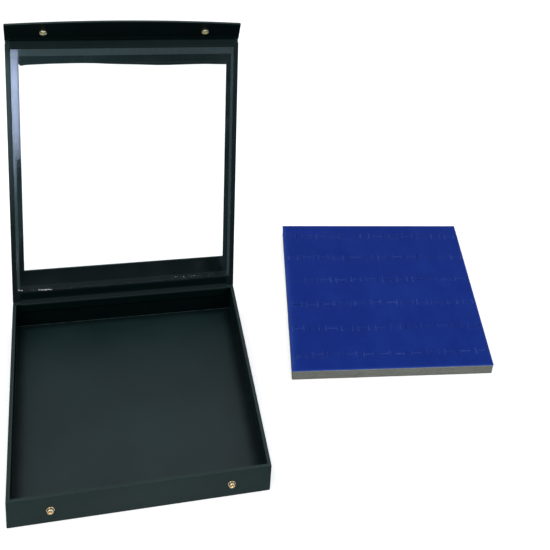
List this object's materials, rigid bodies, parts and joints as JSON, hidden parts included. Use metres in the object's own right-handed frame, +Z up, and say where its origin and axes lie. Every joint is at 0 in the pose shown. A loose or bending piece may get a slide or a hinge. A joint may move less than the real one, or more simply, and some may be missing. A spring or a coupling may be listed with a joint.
{
  "type": "coin display tray",
  "caption": "Shallow leatherette-covered display case with a hinged glazed lid, a snap-down closing flap and a loose slotted foam pad for coins.",
  "frame": {"origin": "centre of the flat underside of the tray", "axes": "+Z up, -Y towards the front with the snaps, +X to the right seen from the front"},
  "size_m": [0.702, 0.5724, 0.4584],
  "materials": {
    "leatherette": "fine-grained dark leatherette",
    "greyboard": "pressed grey board",
    "under_paper": "matt black paper",
    "wall_lining": "dark embossed lining paper",
    "floor_lining": "dark matt lined card",
    "brass_snap": "polished brass plate",
    "nickel_snap": "dull nickel plate",
    "hinge_cloth": "black book cloth",
    "clear_glass": "clear sheet glass",
    "pane_glue": "dried clear glue over dark lining",
    "grey_foam": "open-cell grey foam",
    "blue_flock": "short-pile royal blue flock"
  },
  "bodies": {
    "tray": {"base_board": "greyboard", "bottom_sheet": "under_paper", "floor_card": "floor_lining", "front_wall_board": "greyboard", "rear_wall_board": "greyboard", "left_wall_board": "greyboard", "right_wall_board": "greyboard", "front_wall_liner": "wall_lining", "rear_wall_liner": "wall_lining", "left_wall_liner": "wall_lining", "right_wall_liner": "wall_lining", "tray_wrap": "leatherette", "snap_stud_left": "brass_snap", "stud_eyelet_left": "brass_snap", "snap_stud_right": "brass_snap", "stud_eyelet_right": "brass_snap", "hinge_cloth_tray": "hinge_cloth"},
    "lid": {"lid_liner": "wall_lining", "lid_board": "greyboard", "lid_wrap": "leatherette", "window_pane": "clear_glass", "pane_adhesive": "pane_glue", "hinge_cloth_lid": "hinge_cloth", "flap_fold_strip": "leatherette"},
    "flap": {"flap_liner": "wall_lining", "flap_board": "greyboard", "flap_wrap": "leatherette", "snap_socket_left": "nickel_snap", "snap_cap_left": "brass_snap", "snap_socket_right": "nickel_snap", "snap_cap_right": "brass_snap"},
    "pad": {"pad_foam": "grey_foam", "pad_face": "blue_flock"}
  },
  "joints": [
    {"name": "lid_hinge", "type": "hinge", "parent": "tray", "child": "lid", "pos_m": [0, 0.1906, 0.0413], "axis": [1, 0, 0], "range_deg": [-78, 100], "stiffness_Nm_per_rad": 1.2},
    {"name": "flap_hinge", "type": "hinge", "parent": "lid", "child": "flap", "pos_m": [0, 0.25765, 0.42153], "axis": [1, 0, 0], "range_deg": [-55, 52], "stiffness_Nm_per_rad": 0.03},
    {"name": "pad_lift", "type": "slide", "parent": "tray", "child": "pad", "axis": [0, 0, 1], "range_m": [0, 0.1]}
  ]
}
